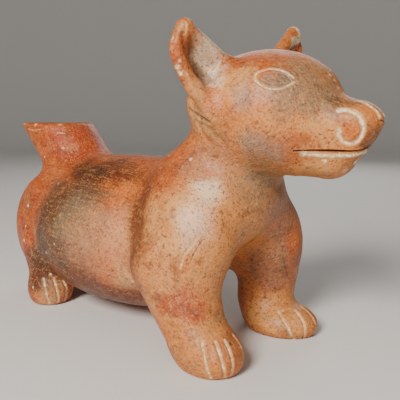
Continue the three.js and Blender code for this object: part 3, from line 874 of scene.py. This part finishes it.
# Fine relief: its whole height in millimetres, and each pattern's share of it
RELIEF_HEIGHT = 0.35
STROKE_RISE = 0.25
PORE_SPACING = 1.2
PORE_RISE = 0.35
PIT_DEPTH = 0.4
CRUST_RISE = 0.6

# Sheen of the slip
SHEEN_SPACING = 18.0
SHEEN_EDGE = (0.35, 0.7)
SLIP_SHEEN = (0.38, 0.54)  # roughness of well polished and less well polished slip
SLIP_SPECULAR = 0.36
DULL = 0.85  # roughness of deposits, worn edges and bare clay


def add(tree, kind, inputs=None, **settings):
    """Adds a node; each input is given as a value or as the output that feeds it."""
    node = tree.nodes.new("ShaderNode" + kind)
    for name, value in settings.items():
        setattr(node, name, value)
    for name, value in (inputs or {}).items():
        if isinstance(value, bpy.types.NodeSocket):
            tree.links.new(value, node.inputs[name])
        else:
            node.inputs[name].default_value = value
    return node


def maths(tree, operation, first, second=0.0):
    return add(tree, "Math", {0: first, 1: second}, operation=operation).outputs[0]


def vector_maths(tree, operation, first, second=(0, 0, 0)):
    return add(tree, "VectorMath", {0: first, 1: second}, operation=operation).outputs[0]


def ramp(tree, value, low, high, start=0.0, end=1.0):
    """A smooth rise from start to end as the value goes from low to high."""
    inputs = {"Value": value, "From Min": low, "From Max": high, "To Min": start, "To Max": end}
    return add(tree, "MapRange", inputs, interpolation_type="SMOOTHSTEP").outputs[0]


def lay(tree, below, colour, mask):
    """One colour laid over another through a mask."""
    node = add(tree, "Mix", {0: mask, 6: below, 7: colour}, data_type="RGBA")
    return node.outputs[2]


def clouds(tree, point, spacing, detail=3.0, roughness=0.55):
    """Even noise from 0 to 1 whose lumps are about the spacing apart, in millimetres."""
    inputs = {"Vector": point, "Scale": 1 / spacing, "Detail": detail, "Roughness": roughness}
    return add(tree, "TexNoise", inputs).outputs[0]


def new_group(name, inputs, outputs):
    group = bpy.data.node_groups.new(name, "ShaderNodeTree")
    for label, kind in inputs:
        group.interface.new_socket(name=label, in_out="INPUT", socket_type="NodeSocket" + kind)
    for label, kind in outputs:
        group.interface.new_socket(name=label, in_out="OUTPUT", socket_type="NodeSocket" + kind)
    return group, group.nodes.new("NodeGroupInput").outputs, group.nodes.new("NodeGroupOutput").inputs


def use(tree, group, inputs):
    return add(tree, "Group", inputs, node_tree=group).outputs


def area_group():
    """One soft area of colour with a grainy edge, for the slip and for painted shade and light."""
    group, given, made = new_group(
        "slip_and_painted_light_area",
        [("Point", "Vector"), ("Middle", "Vector"), ("Half Sizes", "Vector"), ("Tilt", "Vector"),
         ("Softness", "Float"), ("Grain", "Float"), ("Strength", "Float")],
        [("Mask", "Float")],
    )
    place = {"Vector": given["Point"], "Location": given["Middle"], "Rotation": given["Tilt"],
             "Scale": given["Half Sizes"]}
    inside = add(group, "Mapping", place, vector_type="TEXTURE").outputs[0]
    off = add(group, "VectorMath", {0: inside}, operation="LENGTH").outputs["Value"]
    off = maths(group, "ADD", off, given["Grain"])
    half = maths(group, "MULTIPLY", given["Softness"], 0.5)
    mask = ramp(group, off, maths(group, "ADD", 1.0, half), maths(group, "SUBTRACT", 1.0, half))
    group.links.new(maths(group, "MULTIPLY", mask, given["Strength"]), made["Mask"])
    return group


def speck_group():
    """Small round specks, some cells of the pattern left empty."""
    group, given, made = new_group(
        "specks",
        [("Point", "Vector"), ("Spacing", "Float"), ("Size", "Float"), ("Share", "Float")],
        [("Mask", "Float")],
    )
    scale = maths(group, "DIVIDE", 1.0, given["Spacing"])
    cells = add(group, "TexVoronoi", {"Vector": given["Point"], "Scale": scale}, feature="F1")
    chance = add(group, "SeparateColor", {0: cells.outputs["Color"]}).outputs
    reach = maths(group, "MULTIPLY", maths(group, "MULTIPLY", given["Size"], scale), chance[1])
    dot = ramp(group, cells.outputs["Distance"], reach, maths(group, "MULTIPLY", reach, SPECK_CORE))
    kept = maths(group, "LESS_THAN", chance[0], given["Share"])
    group.links.new(maths(group, "MULTIPLY", dot, kept), made["Mask"])
    return group


def stroke_group():
    """The streaks that a polishing stone leaves, long along one direction."""
    group, given, made = new_group(
        "polishing_strokes",
        [("Point", "Vector"), ("Tilt", "Vector"), ("Length", "Float"), ("Width", "Float")],
        [("Value", "Float")],
    )
    sizes = add(group, "CombineXYZ", {0: given["Length"], 1: given["Width"], 2: given["Width"]}).outputs[0]
    place = {"Vector": given["Point"], "Rotation": given["Tilt"], "Scale": sizes}
    stretched = add(group, "Mapping", place, vector_type="TEXTURE").outputs[0]
    streaks = add(group, "TexNoise", {"Vector": stretched, "Scale": 1.0, "Detail": 2.0}).outputs[0]
    group.links.new(streaks, made["Value"])
    return group


def attribute(tree, name):
    return add(tree, "Attribute", attribute_name=name).outputs["Fac"]


def lay_areas(tree, area, colour, rows, point, grain):
    """The areas of a table, each laid over the ones before it."""
    for tint, middle, sizes, tilt, softness, strength in rows:
        mask = use(tree, area, {
            "Point": point, "Middle": middle, "Half Sizes": sizes, "Tilt": (0, math.radians(tilt), 0),
            "Softness": softness, "Grain": grain, "Strength": strength,
        })["Mask"]
        colour = lay(tree, colour, tint, mask)
    return colour


def lay_clouds(tree, colour, rows, point):
    """The clouds of a table, each laid over the ones before it."""
    for tint, shift, spacing, detail, roughness, low, high, strength in rows:
        place = vector_maths(tree, "ADD", point, shift) if any(shift) else point
        mask = ramp(tree, clouds(tree, place, spacing, detail, roughness), low, high, 0, strength)
        colour = lay(tree, colour, tint, mask)
    return colour


def lay_tones(tree, colour, rows, pattern):
    """The tones of a table, each laid where the pattern passes its values."""
    for tint, low, high, strength in rows:
        colour = lay(tree, colour, tint, ramp(tree, pattern, low, high, 0, strength))
    return colour


def burnished_clay():
    """Red-orange slip, polished and fired unevenly, with the dirt and deposits of burial, and painted shade
    and highlights.
    """
    material = bpy.data.materials.new("burnished_clay_look")
    material.use_nodes = True
    tree = material.node_tree
    shader = tree.nodes["Principled BSDF"]
    area, specks, strokes = area_group(), speck_group(), stroke_group()

    here = add(tree, "TexCoord").outputs["Object"]
    point = add(tree, "VectorMath", {0: here, "Scale": 1 / MM}, operation="SCALE").outputs[0]
    drift = add(tree, "TexNoise", {"Vector": point, "Scale": 1 / DRIFT_SPACING, "Detail": 4.0}).outputs[1]
    drift = vector_maths(tree, "SUBTRACT", drift, (0.5, 0.5, 0.5))
    drift = vector_maths(tree, "MULTIPLY", drift, (DRIFT_REACH, DRIFT_REACH, DRIFT_REACH))
    wandering = vector_maths(tree, "ADD", point, drift)
    grain = clouds(tree, point, GRAIN_SPACING, 3.0, 0.7)
    grain = maths(tree, "MULTIPLY", maths(tree, "SUBTRACT", grain, 0.5), GRAIN_REACH)

    # Slip: rust with orange and deep red clouds, then its areas, the mottling, the smoke and the dust, with
    # painted shade and highlights among the areas and smoke
    colour = lay_clouds(tree, RUST, SLIP_CLOUDS, wandering)
    colour = lay_areas(tree, area, colour, AREAS, wandering, grain)
    colour = lay_clouds(tree, colour, MOTTLES, wandering)
    colour = lay_areas(tree, area, colour, FIRE_CLOUDS_AND_PAINTED_LIGHT, wandering, grain)
    colour = lay_clouds(tree, colour, DUST, point)

    # Polishing strokes, speckle, pepper and pale dots
    level, crossing, counter = [
        use(tree, strokes, {"Point": point, **stroke})["Value"] for stroke in STROKES
    ]
    streaks = maths(tree, "ADD", maths(tree, "ADD", level, crossing), counter)
    colour = lay_tones(tree, colour, STROKE_TONES, streaks)
    colour = lay_tones(tree, colour, SPECKLE_TONES, clouds(tree, point, SPECKLE_SPACING, 3.0, 0.75))
    crowded = ramp(tree, clouds(tree, wandering, PEPPER_CROWDS), *PEPPER_STRENGTH)
    pepper = use(tree, specks, {"Point": point, **PEPPER})["Mask"]
    dots = use(tree, specks, {"Point": point, **PALE_DOTS})["Mask"]
    colour = lay(tree, colour, DARK, maths(tree, "MULTIPLY", pepper, crowded))
    colour = lay(tree, colour, CREAM, maths(tree, "MULTIPLY", dots, PALE_DOT_STRENGTH))

    # Painted shade and dirt in the hollows, wear on the edges, bare clay in the chamber, painted shade and
    # pale deposit in the cuts
    broken = clouds(tree, point, CRUST_SPACING, 4.0, 0.7)
    patchy = clouds(tree, point, PATCH_SPACING, 2.0, 0.6)
    colour = lay_tones(tree, colour, HOLLOW_SHADE_AND_DIRT_TONES, attribute(tree, "hollow"))
    worn = maths(tree, "ADD", attribute(tree, "worn"), broken)
    worn = ramp(tree, worn, *WEAR_EDGE, 0, WEAR_STRENGTH)
    colour = lay(tree, colour, BUFF, worn)
    shade = maths(tree, "ADD", attribute(tree, "shade"), maths(tree, "MULTIPLY", broken, SHADE_BREAK))
    colour = lay(tree, colour, DARK, ramp(tree, shade, *SHADE_EDGE))
    inside = attribute(tree, "inside")
    colour = lay(tree, colour, RAW_CLAY, inside)
    crust = attribute(tree, "deposit")
    colour = lay_tones(tree, colour, CRUST_TONES, crust)
    deposit = maths(tree, "ADD", maths(tree, "MULTIPLY", broken, CRUST_BREAK), patchy)
    deposit = ramp(tree, maths(tree, "ADD", crust, deposit), *CRUST_EDGE)
    deposit = maths(tree, "MULTIPLY", deposit, ramp(tree, crust, *CRUST_FROM))
    colour = lay(tree, colour, CREAM, maths(tree, "MULTIPLY", deposit, CRUST_STRENGTH))
    tree.links.new(colour, shader.inputs["Base Color"])

    # Semi-gloss slip; what lies on it or shows through it is dull
    shader.inputs["Specular IOR Level"].default_value = SLIP_SPECULAR
    sheen = ramp(tree, clouds(tree, wandering, SHEEN_SPACING, 4.0, 0.6), *SHEEN_EDGE, *SLIP_SHEEN)
    dull = maths(tree, "MAXIMUM", maths(tree, "MAXIMUM", worn, deposit), inside)
    tree.links.new(ramp(tree, dull, 0.0, 1.0, sheen, DULL), shader.inputs["Roughness"])

    # Fine relief: strokes, pores and pits, with a crust where the deposit lies
    pores = clouds(tree, point, PORE_SPACING, 4.0, 0.6)
    height = maths(tree, "MULTIPLY", streaks, STROKE_RISE)
    height = maths(tree, "ADD", height, maths(tree, "MULTIPLY", pores, PORE_RISE))
    height = maths(tree, "SUBTRACT", height, maths(tree, "MULTIPLY", pepper, PIT_DEPTH))
    height = maths(tree, "ADD", height, maths(tree, "MULTIPLY", deposit, CRUST_RISE))
    relief = add(tree, "Bump", {"Height": height, "Distance": RELIEF_HEIGHT * MM, "Strength": 0.9})
    tree.links.new(relief.outputs[0], shader.inputs["Normal"])
    return material


# Studio, in metres

FLOOR_REACH = 2.4  # how far the floor runs flat
FLOOR_BEND = 1.2  # radius of its rise into the wall
WALL_TOP = 3.4
FLOOR_MIDDLE = 0.5  # radius of the disc under the dog
FLOOR_SIDES = 96
BEND_STEPS = 14
CAMERA_PLACE = (0.35042, -0.33282, 0.180)
CAMERA_TURN = 42.4  # degrees round from facing the dog's right side, towards its front
CAMERA_DIP = 8.785  # degrees below level
CAMERA_LENS = 49.5
LIGHT_AIM = (0, 0, 0.1)
LIGHTS = [  # name, place, size, power and colour
    ("key", (0.40, -1.32, 0.95), 0.6, 40, (1.0, 0.95, 0.88)),
    ("fill", (1.1, -0.5, 0.5), 0.8, 2, (1.0, 0.96, 0.92)),
    ("back", (-0.6, 1.2, 0.9), 1.0, 6, (1.0, 0.96, 0.92)),
]


def make_stage():
    """A plain pale floor that curves up into a wall all round, far from the dog."""
    profile = [(FLOOR_MIDDLE, 0.0)]
    for rise in np.linspace(0, math.pi / 2, BEND_STEPS):
        profile.append((FLOOR_REACH + FLOOR_BEND * math.sin(rise), FLOOR_BEND * (1 - math.cos(rise))))
    profile.append((FLOOR_REACH + FLOOR_BEND, WALL_TOP))
    bearings = [2 * math.pi * i / FLOOR_SIDES for i in range(FLOOR_SIDES)]
    circle = [(math.cos(bearing), math.sin(bearing)) for bearing in bearings]
    grid = bmesh.new()
    rings = []
    for radius, height in profile:
        rings.append([grid.verts.new((radius * x, radius * y, height)) for x, y in circle])
    grid.faces.new(rings[0])
    for lower, upper in zip(rings, rings[1:]):
        for i in range(FLOOR_SIDES):
            j = (i + 1) % FLOOR_SIDES
            grid.faces.new((lower[j], lower[i], upper[i], upper[j]))
    mesh = bpy.data.meshes.new("floor")
    grid.to_mesh(mesh)
    grid.free()
    mesh.polygons.foreach_set("use_smooth", [True] * len(mesh.polygons))
    floor = bpy.data.objects.new("floor", mesh)
    bpy.context.scene.collection.objects.link(floor)
    pale = bpy.data.materials.new("pale_floor")
    pale.use_nodes = True
    shader = pale.node_tree.nodes["Principled BSDF"]
    shader.inputs["Base Color"].default_value = (0.74, 0.73, 0.71, 1)
    shader.inputs["Roughness"].default_value = 0.9
    mesh.materials.append(pale)


def make_camera():
    camera = bpy.data.cameras.new("camera")
    camera.lens = CAMERA_LENS
    camera.sensor_width = 36.0
    camera.clip_start = 0.01
    holder = bpy.data.objects.new("camera", camera)
    tilt = Matrix.Rotation(math.radians(90 - CAMERA_DIP), 4, "X")
    turn = Matrix.Rotation(math.radians(CAMERA_TURN), 4, "Z") @ tilt
    holder.matrix_world = Matrix.Translation(CAMERA_PLACE) @ turn
    bpy.context.scene.collection.objects.link(holder)
    bpy.context.scene.camera = holder


def area_light(name, place, size, power, colour):
    light = bpy.data.lights.new(name, "AREA")
    light.shape = "DISK"
    light.size = size
    light.energy = power
    light.color = colour
    holder = bpy.data.objects.new(name, light)
    aim = Vector(LIGHT_AIM) - Vector(place)
    holder.rotation_euler = aim.to_track_quat("-Z", "Y").to_euler()
    holder.location = place
    bpy.context.scene.collection.objects.link(holder)


def make_light():
    for light in LIGHTS:
        area_light(*light)
    world = bpy.data.worlds.new("studio")
    bpy.context.scene.world = world
    world.use_nodes = True
    sky = world.node_tree.nodes["Background"]
    sky.inputs["Color"].default_value = (0.80, 0.80, 0.82, 1)
    sky.inputs["Strength"].default_value = 0.17


make_camera()
dog = make_dog(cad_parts["dog"], "clay_dog")
dog.data.materials.clear()
dog.data.materials.append(burnished_clay())
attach(dog, "root")
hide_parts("dog")
make_stage()
make_light()
